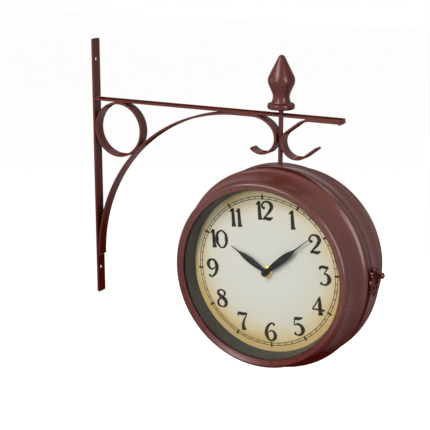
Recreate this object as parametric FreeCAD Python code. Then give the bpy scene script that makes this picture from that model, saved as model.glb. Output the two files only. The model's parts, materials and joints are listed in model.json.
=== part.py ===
"""Double-sided station clock on a wrought wall bracket.

World frame: X out of the wall, Y along the wall, Z up, in millimetres.  The origin is on
the wall, half way between the two screws of the wall bar.  The front dial looks to -Y.

Everything inside the case is drawn in the reader's frame of a dial: x to the right, y up,
z towards the reader, zero at the middle of the clock.  seat_front and seat_rear then turn a
piece into its place on either side of the clock.
"""
import FreeCAD, Part
import os
from math import acos, atan2, cos, hypot, radians, sin, sqrt

V = FreeCAD.Vector
ORIGIN = V(0, 0, 0)
X_AXIS = V(1, 0, 0)
Y_AXIS = V(0, 1, 0)
Z_AXIS = V(0, 0, 1)

# ---------------------------------------------------------------- driving dimensions
# wall bracket, bent from one size of flat bar
strip_width = 13.0
strip_thick = 2.5
strip_corner_r = 1.6
screw_spacing = 244.0
screw_hole_r = 2.5
bar_above_screw = 23.0
bar_below_screw = 29.5
arm_top = 78.5
arm_tip = 305.0
ring_r = 31.2
weld_r = 1.3
weld_lift = 5.2
weld_lift_slant = 2.6
weld_collar = 1.4
weld_collar_foot = 1.3

# inner scroll: the end of the brace, bent down beside the rod
inner_lead_r = 31.5
inner_lead_turn = 40.0
inner_shoulder_r = 18.5
inner_eye_r = 15.5
inner_tip_turn = 38.0
inner_tip_run = 2.5

# outer scroll: leaves the arm near its tip and curls back to the rod
outer_lead_r = 22.5
outer_lead_turn = 37.0
outer_lead_run = 16.0
outer_shoulder_r = 11.9
outer_eye_r = 15.5
outer_tip_turn = 37.0
outer_tip_run = 16.0

# hanging rod and finial
rod_r = 2.5
rod_fit = 0.1
finial_lift = 4.8
finial_flange_r = 14.4
finial_flange_h = 6.4
finial_flange_top_r = 12.9
finial_bevel = 1.9
finial_waist_r = 8.8
finial_waist_h = 13.0
finial_bulb_r = 14.2
finial_bulb_h = 30.0
finial_curve_r = 11.0
finial_tip_r = 3.4
finial_tip_h = 54.4
finial_height = 56.5
finial_socket = 12.0
rod_washer_r = 5.0
rod_washer_thick = 1.0
rod_nut_flats = 8.0
rod_nut_thick = 4.0
rod_thread_end = 1.5
rod_chamfer = 0.4

# clock case
clock_reach = 234.5
clock_drop = 86.0
case_half_depth = 50.0
hoop_r = 109.0
hoop_half = 4.3
hoop_wall = 3.6
register_r = 106.9
register_half = 9.0
shell_r = 108.5
shell_wall = 1.2
seam_gap = 0.3
bead_r = 109.3
bead_z = 17.0
bead_half = 2.5
cove_r = 106.5
cove_sag_r = 101.0
cove_sag_z = 30.8
lip_r = 100.0
lip_roll_r = 3.5
lip_rise = 50.0
lip_face = 7.4
lip_inner_drop = 1.1
hem_step = 1.2
hem_turn_drop = 2.1
hem_drop = 3.6

# glass, reveal, dial and its pan
glass_thick = 2.0
glass_lap = 3.2
reveal_depth = 16.3
reveal_set_back = 0.8
reveal_wall = 2.0
dial_thick = 0.5
dial_covered = 9.0
pan_thick = 1.0
pan_clear = 1.8
pan_rim = 1.0
clip_count = 4
clip_width = 10.0
clip_thick = 1.2
clip_foot_z = 11.0
clip_web_z = 15.0
clip_inset = 8.0
clip_toe = 9.0

# quartz works
works_size = 56.0
works_depth = 15.5
works_corner_r = 4.0
bush_r = 4.0
bush_proud = 2.2
bore_depth = 7.7
dial_nut_r = 6.6
dial_nut_crown_r = 5.0
dial_nut_thick = 1.9
dial_nut_rim = 1.0
arbor_r = 1.5
pipe_r = 2.5
running_fit = 0.05
hour_hand_lift = 2.6
hand_step = 1.7
hand_thick = 0.5
hand_ridge = 0.7
hub_r = 3.9
leaf_root = 3.4
needle_width = 1.6
needle_tip = 0.4
hour_hand_length = 47.9
hour_hand_width = 7.0
hour_hand_belly = 22.5
hour_hand_neck = 37.8
hour_hand_turn = -60.6
minute_hand_length = 68.7
minute_hand_width = 8.0
minute_hand_belly = 26.8
minute_hand_neck = 44.7
minute_hand_turn = 49.1
cap_r = 3.9
cap_knob_r = 3.0
cap_drum = 1.3
cap_height = 3.6
cap_bevel = 1.0
arbor_grip = 1.3
knob_r = 5.0
knob_thick = 3.8
knob_x = 11.0
knob_y = 12.0
knob_chamfer = 0.8
knob_stub_r = 1.5
knob_stub_depth = 2.5
end_gap = 0.3
cell_r = 7.05
cell_length = 49.2
cell_nub_r = 2.7
cell_nub = 1.1
cell_y = -17.0
cell_clear = 0.35
contact_thick = 0.3
contact_size = 9.0

# hinge on the wall side of the case
hinge_r = 111.5
hinge_height = 24.0
hinge_middle = 8.0
hinge_knuckle_r = 2.1
hinge_pin_r = 1.0
hinge_pin_head_r = 1.7
hinge_pin_head = 0.8
hinge_leaf_thick = 0.8
hinge_leaf_gap = 0.2
hinge_fixed_leaf = 6.4
hinge_moving_leaf = 6.3
hinge_notch = 2.6
hinge_lap = 0.5

# clasp on the outer side of the case
clasp_base_thick = 1.0
clasp_base_back = 12.0
clasp_base_angle = 5.0
clasp_gap = 0.3
clasp_thick = 2.2
clasp_pivot_z = -2.0
clasp_pivot_r = 1.5
clasp_head_r = 3.2
clasp_head_thick = 1.6
clasp_head_gap = 0.1
clasp_slot = 0.8
keeper_thick = 1.0
keeper_front = 13.0
keeper_back = 8.0
keeper_angle = 3.0
keeper_stud_r = 1.5
thumb_z = -6.0
thumb_y = 4.0
thumb_stem_r = 1.5
thumb_neck = 2.2
thumb_head_r = 3.3
thumb_rim = 4.2
thumb_crown_r = 2.0
thumb_reach = 5.6

# openwork of the clasp lever, from its pivot: along towards the front, up from the middle
lever_boss_r = 3.6
lever_reach = 13.2
lever_spine = 2.6
lever_crown_foot = 2.6
lever_crown_top = 1.2
lever_crown = 1.0
eye_along = 9.2
eye_up = 6.0
eye_r = 4.3
eye_hole_r = 2.4
curl_along = 1.9
curl_up = 6.7
curl_r = 3.8
curl_hole_r = 2.0
wing_along = 5.2
wing_up = 11.9
wing_r = 3.4
wing_hole_r = 1.6
wing_tip_up = 15.2
wing_tip_r = 1.5
bud_r = 2.1
front_bud_along = 13.0
front_bud_up = 9.8
rear_bud_along = -1.6
rear_bud_up = 10.0
heel_bud_along = -4.3
heel_bud_up = 3.1

# ---------------------------------------------------------------- places worked out once
wall_top = screw_spacing / 2 + bar_above_screw
wall_bottom = -screw_spacing / 2 - bar_below_screw
arm_under = arm_top - strip_thick
bar_face = strip_thick
half_width = strip_width / 2
brace_r = ring_r * (1 + sqrt(2)) ** 2
rim_z = hoop_half + seam_gap
lip_inner_r = lip_r - lip_face
hem_r = lip_inner_r - hem_step
hem_z = case_half_depth - hem_drop
glass_r = hem_r + glass_lap
glass_back = hem_z - glass_thick
dial_z = glass_back - reveal_depth
pan_r = cove_sag_r - shell_wall - pan_clear
dial_r = pan_r - pan_rim
reveal_r = dial_r - dial_covered
reveal_front_r = hem_r - reveal_set_back
clip_leg_r = pan_r - clip_inset
pan_front = dial_z - dial_thick
pan_back = pan_front - pan_thick
works_back = pan_back - works_depth
bore_foot = pan_back - bore_depth
bush_end = dial_z + bush_proud
hour_hand_z = dial_z + hour_hand_lift
minute_hand_z = hour_hand_z + hand_step
cap_foot = minute_hand_z + hand_thick + hand_ridge
cap_end = cap_foot + cap_height
arbor_end = cap_foot + arbor_grip
cell_z = works_back + cell_clear + cell_r
hinge_z = (hoop_half + rim_z) / 2
clasp_plate_x = hoop_r + clasp_base_thick + clasp_gap
clasp_face_x = clasp_plate_x + clasp_thick
overrun = 1.0
hair = 0.01


# ---------------------------------------------------------------- tools for drawing
def point(x, z):
    """A point of an outline, drawn in the plane y = 0."""
    return V(x, 0, z)


def line(start, end):
    return Part.LineSegment(start, end).toShape()


def arc(start, middle, end):
    return Part.Arc(start, middle, end).toShape()


def spun(edges, axis=Z_AXIS):
    """A solid of revolution from the closed outline that the edges make."""
    return Part.Face(Part.Wire(edges)).revolve(ORIGIN, axis, 360)


def polygon(points):
    return [line(a, b) for a, b in zip(points, points[1:] + points[:1])]


def disc(radius, low, high, x=0.0, y=0.0):
    return Part.makeCylinder(radius, high - low, V(x, y, low))


def ring(outer, inner, low, high):
    return disc(outer, low, high).cut(disc(inner, low, high))


def bar(x_range, y_range, z_range):
    size = [high - low for low, high in (x_range, y_range, z_range)]
    return Part.makeBox(*size, V(x_range[0], y_range[0], z_range[0]))


def seat_front(shape):
    """From the reader's frame of the front dial to its place in the world."""
    seated = shape.copy()
    seated.rotate(ORIGIN, X_AXIS, 90)
    seated.translate(V(clock_reach, 0, -clock_drop))
    return seated


def seat_rear(shape):
    """From the reader's frame of the rear dial to its place in the world."""
    seated = shape.copy()
    seated.rotate(ORIGIN, X_AXIS, 90)
    seated.rotate(ORIGIN, Z_AXIS, 180)
    seated.translate(V(clock_reach, 0, -clock_drop))
    return seated


def dome(edge_r, edge_z, top_z):
    """Arc from a rim up to the axis, centred on the axis."""
    rise = top_z - edge_z
    radius = (rise ** 2 + edge_r ** 2) / (2 * rise)
    half = acos(1 - rise / radius) / 2
    middle = point(radius * sin(half), top_z - radius + radius * cos(half))
    return arc(point(edge_r, edge_z), middle, point(0, top_z))


class Track:
    """A line that runs straight and bends, as sheet and flat bar do in a bending jig.

    heading is in degrees from +x towards +z, and a positive turn bends to the left.
    """

    def __init__(self, x, z, heading):
        self.x = x
        self.z = z
        self.heading = heading
        self.pieces = []

    def station(self):
        return self.x, self.z, self.heading

    def run(self, length):
        start = self.station()
        self.x += length * cos(radians(self.heading))
        self.z += length * sin(radians(self.heading))
        self.pieces.append((start, self.station()))

    def swing(self, radius, turn):
        """Move along an arc, with no piece recorded."""
        side = 1 if turn > 0 else -1
        before = radians(self.heading - 90 * side)
        self.heading += turn
        after = radians(self.heading - 90 * side)
        self.x += radius * (cos(after) - cos(before))
        self.z += radius * (sin(after) - sin(before))

    def bend(self, radius, turn):
        start = self.station()
        self.swing(radius, turn / 2)
        middle = self.station()
        self.swing(radius, turn / 2)
        self.pieces.append((start, middle, self.station()))

    def face_edges(self, offset):
        """The line itself, or its parallel at an offset to the left."""
        edges = []
        for piece in self.pieces:
            points = [point(x - offset * sin(radians(heading)), z + offset * cos(radians(heading)))
                      for x, z, heading in piece]
            edges.append(line(*points) if len(points) == 2 else arc(*points))
        return edges

    def thickened(self, thickness):
        """A face of even thickness on the left of the line, or on its right if negative."""
        near = self.face_edges(0)
        far = self.face_edges(thickness)
        caps = [
            line(near[0].Vertexes[0].Point, far[0].Vertexes[0].Point),
            line(near[-1].Vertexes[-1].Point, far[-1].Vertexes[-1].Point),
        ]
        return Part.Face(Part.Wire(Part.sortEdges(near + far + caps)[0]))


def strip(face):
    """Flat bar of the bracket's width, bent to the face's outline."""
    lowered = face.copy()
    lowered.translate(V(0, -half_width, 0))
    return lowered.extrude(V(0, strip_width, 0))


# ---------------------------------------------------------------- wall bracket
def wall_bar():
    body = bar((0, strip_thick), (-half_width, half_width), (wall_bottom, wall_top))
    ends = [e for e in body.Edges if abs(e.BoundBox.ZLength) < hair and e.BoundBox.XLength > hair]
    body = body.makeFillet(strip_corner_r, ends)
    for height in (-screw_spacing / 2, screw_spacing / 2):
        body = body.cut(Part.makeCylinder(screw_hole_r, strip_thick, V(0, 0, height), X_AXIS))
    return body


def arm_bar():
    body = bar((bar_face, arm_tip), (-half_width, half_width), (arm_under, arm_top))
    ends = [e for e in body.Edges if e.BoundBox.ZLength > hair and e.BoundBox.XMin > arm_tip - hair]
    body = body.makeFillet(strip_corner_r, ends)
    hole = Part.makeCylinder(rod_r + rod_fit, strip_thick, V(clock_reach, 0, arm_under))
    return body.cut(hole)


def ring_centre():
    """The ring touches the wall bar and the underside of the arm."""
    return bar_face + ring_r, arm_under - ring_r


def corner_ring():
    x, z = ring_centre()
    outer = Part.makeCylinder(ring_r, strip_width, V(x, -half_width, z), Y_AXIS)
    inner = Part.makeCylinder(ring_r - strip_thick, strip_width, V(x, -half_width, z), Y_AXIS)
    return outer.cut(inner)


def brace_scroll():
    """Quarter sweep from the wall bar to the arm, tangent to both and to the ring.

    Its outside radius follows from those three contacts.  Past the arm contact it runs on
    under the arm and curls down beside the rod.
    """
    track = Track(bar_face, arm_under - brace_r, 90)
    track.bend(brace_r, -90)
    lead_r = inner_lead_r + strip_thick
    shoulder_r = inner_shoulder_r + strip_thick
    eye_r = inner_eye_r + strip_thick
    lead_reach = lead_r * sin(radians(inner_lead_turn))
    shoulder_reach = shoulder_r * (1 - sin(radians(inner_lead_turn)))
    track.run(clock_reach - rod_r - lead_reach - shoulder_reach - track.x)
    track.bend(lead_r, -inner_lead_turn)
    track.bend(shoulder_r, inner_lead_turn - 90)
    track.bend(eye_r, -90 - inner_tip_turn)
    track.run(inner_tip_run)
    return strip(track.thickened(-strip_thick))


def outer_scroll():
    """Lies under the tip of the arm, then curls down and back to the rod."""
    lead_r = outer_lead_r + strip_thick
    shoulder_r = outer_shoulder_r + strip_thick
    lead_reach = lead_r * sin(radians(outer_lead_turn))
    lead_reach += outer_lead_run * cos(radians(outer_lead_turn))
    shoulder_reach = shoulder_r * (1 - sin(radians(outer_lead_turn)))
    leave_x = clock_reach + rod_r + lead_reach + shoulder_reach
    track = Track(arm_tip, arm_under, 180)
    track.run(arm_tip - leave_x)
    track.bend(lead_r, outer_lead_turn)
    track.run(outer_lead_run)
    track.bend(shoulder_r, 90 - outer_lead_turn)
    track.bend(outer_eye_r + strip_thick, 90 + outer_tip_turn)
    track.run(outer_tip_run)
    return strip(track.thickened(strip_thick))


def weld_beads(neighbours):
    """Short beads in the crevices where the strips, the ring and the rod meet."""
    ring_x, ring_z = ring_centre()
    slant = ring_r * sin(radians(45))
    crevices = [
        (bar_face, arm_top),
        (bar_face, ring_z + weld_lift),
        (ring_x + weld_lift, arm_under),
        (ring_x + slant + weld_lift_slant, ring_z - slant + weld_lift_slant),
        (bar_face, arm_under - brace_r),
        (arm_tip - strip_thick, arm_under - strip_thick),
    ]
    length = strip_width - 2 * strip_corner_r
    beads = []
    for x, z in crevices:
        rod = Part.makeCylinder(weld_r, length, V(x, -length / 2, z), Y_AXIS)
        for neighbour in neighbours:
            rod = rod.cut(neighbour)
        beads.append(max(rod.Solids, key=lambda solid: solid.Volume))
    foot = V(clock_reach, 0, hoop_r - clock_drop)
    collar = Part.makeCone(rod_r + weld_collar_foot, rod_r + rod_fit, weld_collar, foot)
    for neighbour in neighbours:
        collar = collar.cut(neighbour)
    beads.append(max(collar.Solids, key=lambda solid: solid.Volume))
    return Part.makeCompound(beads)


# ---------------------------------------------------------------- rod and finial
def rod_seat():
    """Height of the flat washer under the hoop, in the clock's frame."""
    inner_r = hoop_r - hoop_wall
    return sqrt(inner_r ** 2 - rod_washer_r ** 2)


def hanger_rod():
    low = rod_seat() - rod_washer_thick - rod_nut_thick - rod_thread_end - clock_drop
    high = arm_top + finial_lift + finial_socket
    rod = Part.makeCylinder(rod_r, high - low, V(clock_reach, 0, low))
    return rod.makeChamfer(rod_chamfer, [e for e in rod.Edges if e.BoundBox.ZLength < hair])


def rod_washer():
    top = rod_seat() - clock_drop
    low = V(clock_reach, 0, top - rod_washer_thick)
    outer = Part.makeCylinder(rod_washer_r, rod_washer_thick, low)
    return outer.cut(Part.makeCylinder(rod_r + rod_fit, rod_washer_thick, low))


def rod_nut():
    low = rod_seat() - clock_drop - rod_washer_thick - rod_nut_thick
    corner_r = rod_nut_flats / 2 / cos(radians(30))
    corners = [V(corner_r * cos(radians(60 * i)), corner_r * sin(radians(60 * i)), 0) for i in range(6)]
    nut = Part.Face(Part.Wire(polygon(corners))).extrude(V(0, 0, rod_nut_thick))
    nut = nut.cut(Part.makeCylinder(rod_r, rod_nut_thick))
    nut.translate(V(clock_reach, 0, low))
    return nut


def touch(centre, radius, outside, side):
    """Where a line from a point outside touches a circle, on its one side (1) or its other (-1)."""
    away_x = outside.x - centre.x
    away_z = outside.z - centre.z
    angle = atan2(away_z, away_x) + side * acos(radius / hypot(away_x, away_z))
    return point(centre.x + radius * cos(angle), centre.z + radius * sin(angle))


def finial():
    """Turned bud: flange, hollow waist, bulb, straight cone and domed tip, each tangent to the next."""
    waist = point(finial_waist_r + finial_curve_r, finial_waist_h)
    bulb = point(finial_bulb_r - finial_curve_r, finial_bulb_h)
    middle = (waist + bulb) / 2
    tip = point(finial_tip_r, finial_tip_h)
    neck_rise = finial_waist_h - finial_flange_h
    neck = point(waist.x - sqrt(finial_curve_r ** 2 - neck_rise ** 2), finial_flange_h)
    waist_end = touch(waist, finial_curve_r, middle, 1)
    bulb_start = touch(bulb, finial_curve_r, middle, 1)
    bulb_end = touch(bulb, finial_curve_r, tip, -1)
    flange = [
        point(0, finial_height), point(0, 0), point(finial_flange_r - finial_bevel, 0),
        point(finial_flange_r, finial_bevel), point(finial_flange_r, finial_flange_h - finial_bevel),
        point(finial_flange_top_r, finial_flange_h), neck,
    ]
    edges = [line(a, b) for a, b in zip(flange, flange[1:])]
    edges += [
        arc(neck, point(finial_waist_r, finial_waist_h), waist_end),
        line(waist_end, bulb_start),
        arc(bulb_start, point(finial_bulb_r, finial_bulb_h), bulb_end),
        line(bulb_end, tip),
        dome(finial_tip_r, finial_tip_h, finial_height),
    ]
    body = spun(edges).cut(Part.makeCylinder(rod_r, finial_socket))
    body.translate(V(clock_reach, 0, arm_top + finial_lift))
    return body


# ---------------------------------------------------------------- case
def centre_hoop():
    """Band between the two shells, with a register inside each of them."""
    inner_r = hoop_r - hoop_wall
    outline = [
        point(inner_r, -register_half), point(register_r, -register_half),
        point(register_r, -hoop_half), point(hoop_r, -hoop_half),
        point(hoop_r, hoop_half), point(register_r, hoop_half),
        point(register_r, register_half), point(inner_r, register_half),
    ]
    body = spun(polygon(outline))
    rod_hole = Part.makeCylinder(rod_r + rod_fit, 2 * hoop_wall, V(0, hoop_r - 2 * hoop_wall, 0), Y_AXIS)
    pivot_hole = Part.makeCylinder(clasp_pivot_r, 2 * hoop_wall,
                                   V(hoop_r - 2 * hoop_wall, 0, clasp_pivot_z), X_AXIS)
    return body.cut(rod_hole).cut(pivot_hole)


def case_shell(rim):
    """Spun steel half case: band, bead, hollow cove, rolled lip and the hem that holds the glass."""
    roll_x = lip_r - lip_roll_r
    roll_z = case_half_depth - lip_roll_r
    neck_x = roll_x + lip_roll_r * sin(radians(lip_rise))
    neck_z = roll_z - lip_roll_r * cos(radians(lip_rise))
    bead_foot = point(shell_r, bead_z - bead_half)
    bead_end = point(cove_r, bead_z + bead_half)
    crest = point(roll_x, case_half_depth)
    wall = shell_wall
    outside = [
        line(point(shell_r, rim), bead_foot),
        arc(bead_foot, point(bead_r, bead_z), bead_end),
        arc(bead_end, point(cove_sag_r, cove_sag_z), point(neck_x, neck_z)),
        arc(point(neck_x, neck_z), point(lip_r, roll_z), crest),
    ]
    lip_inner_z = case_half_depth - lip_inner_drop
    hem_turn_z = case_half_depth - hem_turn_drop
    neck_inside = point(neck_x - wall, neck_z + wall / 2)
    cove_inside = point(cove_r - wall, bead_z + bead_half - wall / 2)
    hem = [
        crest, point(lip_inner_r, lip_inner_z), point(hem_r, hem_turn_z), point(hem_r, hem_z),
        point(hem_r + wall, hem_z), point(lip_inner_r + wall, lip_inner_z - wall),
        point(roll_x, case_half_depth - wall), point(lip_r - wall, roll_z), neck_inside,
    ]
    band = [
        cove_inside, point(bead_r - wall, bead_z), point(shell_r - wall, bead_z - bead_half),
        point(shell_r - wall, rim), point(shell_r, rim),
    ]
    inside = [line(a, b) for a, b in zip(hem, hem[1:])]
    inside.append(arc(neck_inside, point(cove_sag_r - wall, cove_sag_z), cove_inside))
    inside += [line(a, b) for a, b in zip(band, band[1:])]
    return spun(outside + inside)


def glass():
    return disc(glass_r, glass_back, hem_z)


def reveal_ring():
    """Dark flared collar between the dial and the glass."""
    return spun(polygon([
        point(reveal_r, dial_z), point(reveal_r + reveal_wall, dial_z),
        point(reveal_front_r + reveal_wall, glass_back), point(reveal_front_r, glass_back),
    ]))


def dial():
    return ring(dial_r, bush_r + running_fit, pan_front, dial_z)


def around(count, shape, first):
    """Copies of a shape about the dial's axis, the first at that angle in degrees."""
    copies = []
    for index in range(count):
        copy = shape.copy()
        copy.rotate(ORIGIN, Z_AXIS, first + index * 360 / count)
        copies.append(copy)
    return Part.makeCompound(copies)


def dial_pan():
    """Steel plate that backs the dial."""
    return ring(pan_r, bush_r + running_fit, pan_back, pan_front)


def pan_clips():
    """Z-bent brackets from the band of the shell to the back of the pan."""
    inner_r = shell_r - shell_wall
    foot = inner_r - clip_thick
    leg = clip_leg_r + clip_thick
    toe = pan_back - clip_thick
    web = clip_web_z + clip_thick
    face = Part.Face(Part.Wire(polygon([
        point(inner_r, clip_foot_z), point(inner_r, web), point(leg, web), point(leg, pan_back),
        point(clip_leg_r - clip_toe, pan_back), point(clip_leg_r - clip_toe, toe),
        point(clip_leg_r, toe), point(clip_leg_r, clip_web_z), point(foot, clip_web_z),
        point(foot, clip_foot_z),
    ])))
    face.translate(V(0, -clip_width / 2, 0))
    clip = face.extrude(V(0, clip_width, 0)).common(disc(inner_r, 0, case_half_depth))
    return around(clip_count, clip, 180 / clip_count)


# ---------------------------------------------------------------- quartz works
def movement():
    """Moulded case of the works with its threaded bush, open battery bay and knob hole."""
    half = works_size / 2
    body = bar((-half, half), (-half, half), (works_back, pan_back))
    uprights = [e for e in body.Edges if e.BoundBox.ZLength > hair]
    body = body.makeFillet(works_corner_r, uprights)
    bay_r = cell_r + cell_clear
    bay_half = cell_length / 2 + cell_nub / 2 + contact_thick + cell_clear
    bay = Part.makeCylinder(bay_r, 2 * bay_half, V(-bay_half, cell_y, cell_z), X_AXIS)
    mouth = bar((-bay_half, bay_half), (cell_y - bay_r, cell_y + bay_r), (works_back, cell_z))
    body = body.cut(bay).cut(mouth)
    body = body.fuse(disc(bush_r, pan_back, bush_end))
    body = body.cut(disc(pipe_r + running_fit, bore_foot, bush_end))
    stub_end = works_back + knob_stub_depth
    return body.cut(disc(knob_stub_r + running_fit, works_back, stub_end, x=knob_x, y=knob_y))


def dial_nut():
    """Round brass nut with a bevelled crown, on the bush."""
    top = dial_z + dial_nut_thick
    return spun(polygon([
        point(bush_r, dial_z), point(dial_nut_r, dial_z), point(dial_nut_r, dial_z + dial_nut_rim),
        point(dial_nut_crown_r, top), point(bush_r, top),
    ]))


def cell():
    """One AA cell, its positive nub to the right."""
    left = -(cell_length + cell_nub) / 2
    body = Part.makeCylinder(cell_r, cell_length, V(left, cell_y, cell_z), X_AXIS)
    nub = Part.makeCylinder(cell_nub_r, cell_nub, V(left + cell_length, cell_y, cell_z), X_AXIS)
    return body.fuse(nub)


def cell_contacts():
    """Flat spring plates at the two ends of the battery bay."""
    end = (cell_length + cell_nub) / 2 + cell_clear
    half = contact_size / 2
    plates = []
    for x in (-end - contact_thick, end):
        plates.append(bar((x, x + contact_thick), (cell_y - half, cell_y + half),
                          (cell_z - half, cell_z + half)))
    return Part.makeCompound(plates)


def hand(length, width, belly, neck, low, bore_r):
    """Lance hand with a ridge down its middle: leaf, then a long needle, round a hub.

    Half way from its root or its neck to its belly, the leaf is wider than a straight taper.
    """
    full = 3 / 4
    stations = [
        (hub_r / 2, leaf_root), (belly / 2, full * width + (1 - full) * leaf_root),
        (belly, width), ((belly + neck) / 2, full * width + (1 - full) * needle_width),
        (neck, needle_width), (length, needle_tip),
    ]
    sections = []
    for along, across in stations:
        crest = hand_thick + hand_ridge * across / width
        sections.append(Part.Wire(polygon([
            V(-across / 2, along, low), V(across / 2, along, low),
            V(across / 2, along, low + hand_thick), V(0, along, low + crest),
            V(-across / 2, along, low + hand_thick),
        ])))
    blade = Part.makeLoft(sections, True, True)
    hub = disc(hub_r, low, low + hand_thick)
    return blade.fuse(hub).cut(disc(bore_r, low, low + hand_thick + hand_ridge))


def turned_by(shape, degrees_clockwise):
    turned = shape.copy()
    turned.rotate(ORIGIN, Z_AXIS, -degrees_clockwise)
    return turned


def hour_hand():
    blade = hand(hour_hand_length, hour_hand_width, hour_hand_belly, hour_hand_neck, hour_hand_z, pipe_r)
    return turned_by(blade, hour_hand_turn)


def minute_hand():
    blade = hand(minute_hand_length, minute_hand_width, minute_hand_belly, minute_hand_neck,
                 minute_hand_z, arbor_r)
    return turned_by(blade, minute_hand_turn)


def hour_pipe():
    top = hour_hand_z + hand_thick + hand_ridge / 2
    return ring(pipe_r, arbor_r + running_fit, bore_foot + end_gap, top)


def minute_arbor():
    return disc(arbor_r, bore_foot + end_gap, arbor_end)


def cap_nut():
    """Black nut on the minute arbor: a short drum and a bevelled knob."""
    shoulder = cap_foot + cap_drum
    body = spun(polygon([
        point(0, cap_foot), point(cap_r, cap_foot), point(cap_r, shoulder),
        point(cap_knob_r, shoulder), point(cap_knob_r, cap_end - cap_bevel),
        point(cap_knob_r - cap_bevel, cap_end), point(0, cap_end),
    ]))
    return body.cut(disc(arbor_r, cap_foot, arbor_end))


def set_knob():
    """Thumb wheel on the back of the works, on its own short arbor."""
    face = works_back - end_gap
    wheel = disc(knob_r, face - knob_thick, face, x=knob_x, y=knob_y)
    rims = [e for e in wheel.Edges if e.BoundBox.ZMax < face - hair]
    wheel = wheel.makeChamfer(knob_chamfer, rims)
    stub_end = works_back + knob_stub_depth - end_gap
    return wheel.fuse(disc(knob_stub_r, face, stub_end, x=knob_x, y=knob_y))


# ---------------------------------------------------------------- hinge
def wrapped_leaf(radius, thickness, low, high, half_height, side):
    """A plate that follows the case, on its left (side -1) or its right (side 1)."""
    sleeve = ring(radius + thickness, radius, low, high)
    reach = radius + thickness
    window = bar((min(0, side * reach), max(0, side * reach)), (-half_height, half_height), (low, high))
    return sleeve.common(window)


def knuckle(low_y, high_y):
    return Part.makeCylinder(hinge_knuckle_r, high_y - low_y, V(-hinge_r, low_y, hinge_z), Y_AXIS)


def hinge_bore(radius):
    return Part.makeCylinder(radius, hinge_height, V(-hinge_r, -hinge_height / 2, hinge_z), Y_AXIS)


def hinge_leaf_fixed():
    """Leaf on the hoop, with the two outer knuckles."""
    half = hinge_height / 2
    high = -hoop_half + hinge_fixed_leaf
    leaf = wrapped_leaf(hoop_r, hinge_leaf_thick, -hoop_half, high, half, -1)
    inner = hinge_middle / 2 + hinge_leaf_gap
    for low_y, high_y in ((-half, -inner), (inner, half)):
        web = bar((-hinge_r, -hoop_r + overrun), (low_y, high_y), (high - hinge_lap, hinge_z))
        leaf = leaf.fuse(web.cut(disc(hoop_r, 0, hinge_z))).fuse(knuckle(low_y, high_y))
    return leaf.cut(hinge_bore(hinge_pin_r))


def hinge_leaf_moving():
    """Leaf on the band of the front shell, with the middle knuckle."""
    low = hinge_z + hinge_notch
    leaf = wrapped_leaf(shell_r, hinge_leaf_thick, low, low + hinge_moving_leaf, hinge_height / 2, -1)
    half = hinge_middle / 2
    web = bar((-hinge_r, -shell_r + overrun), (-half, half), (hinge_z, low + hinge_lap))
    leaf = leaf.fuse(web.cut(disc(shell_r, 0, low + hinge_lap))).fuse(knuckle(-half, half))
    return leaf.cut(hinge_bore(hinge_pin_r + running_fit))


def hinge_pin():
    half = hinge_height / 2
    pin = Part.makeCylinder(hinge_pin_r, hinge_height, V(-hinge_r, -half, hinge_z), Y_AXIS)
    for y in (-half - hinge_pin_head, half):
        pin = pin.fuse(Part.makeCylinder(hinge_pin_head_r, hinge_pin_head, V(-hinge_r, y, hinge_z), Y_AXIS))
    return pin


# ---------------------------------------------------------------- clasp
def clasp_base():
    half = hoop_r * sin(radians(clasp_base_angle))
    plate = wrapped_leaf(hoop_r, clasp_base_thick, -clasp_base_back, hoop_half - seam_gap, half, 1)
    hole = Part.makeCylinder(clasp_pivot_r, 2 * hoop_wall, V(hoop_r - hoop_wall, 0, clasp_pivot_z), X_AXIS)
    return plate.cut(hole)


def clasp_keeper():
    """Low plate with a round stud on the front band, under the end of the lever."""
    half = shell_r * sin(radians(keeper_angle))
    plate = wrapped_leaf(shell_r, keeper_thick, keeper_back, keeper_front, half, 1)
    stud_z = (keeper_back + keeper_front) / 2
    stud_length = clasp_plate_x - clasp_gap - shell_r
    stud = Part.makeCylinder(keeper_stud_r, stud_length, V(shell_r, 0, stud_z), X_AXIS)
    return plate.fuse(stud.cut(disc(shell_r, 0, case_half_depth)))


def flat_disc(along, up, radius):
    """A round of the lever's thickness, placed from its pivot."""
    place = V(clasp_plate_x, up, clasp_pivot_z + along)
    return Part.makeCylinder(radius, clasp_thick, place, X_AXIS)


def clasp_lever():
    """Cast openwork lever: pivot boss, rosette in front, and on each side scrolls and buds."""
    spine = bar((clasp_plate_x, clasp_face_x), (-lever_spine / 2, lever_spine / 2),
                (clasp_pivot_z, clasp_pivot_z + lever_reach))
    rounds = [spine, flat_disc(0, 0, lever_boss_r), flat_disc(lever_reach, 0, lever_boss_r)]
    holes = [flat_disc(0, 0, clasp_pivot_r + running_fit)]
    for side in (-1, 1):
        rounds.append(flat_disc(eye_along, side * eye_up, eye_r))
        rounds.append(flat_disc(curl_along, side * curl_up, curl_r))
        rounds.append(flat_disc(wing_along, side * wing_up, wing_r))
        rounds.append(flat_disc(wing_along, side * wing_tip_up, wing_tip_r))
        rounds.append(flat_disc(front_bud_along, side * front_bud_up, bud_r))
        rounds.append(flat_disc(rear_bud_along, side * rear_bud_up, bud_r))
        rounds.append(flat_disc(heel_bud_along, side * heel_bud_up, bud_r))
        holes.append(flat_disc(eye_along, side * eye_up, eye_hole_r))
        holes.append(flat_disc(curl_along, side * curl_up, curl_hole_r))
        holes.append(flat_disc(wing_along, side * wing_up, wing_hole_r))
    body = rounds[0].multiFuse(rounds[1:]).removeSplitter()
    crown_foot = V(clasp_face_x, 0, clasp_pivot_z + lever_reach)
    crown = Part.makeCone(lever_crown_foot, lever_crown_top, lever_crown, crown_foot, X_AXIS)
    return body.cut(Part.makeCompound(holes)).fuse(crown)


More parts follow.
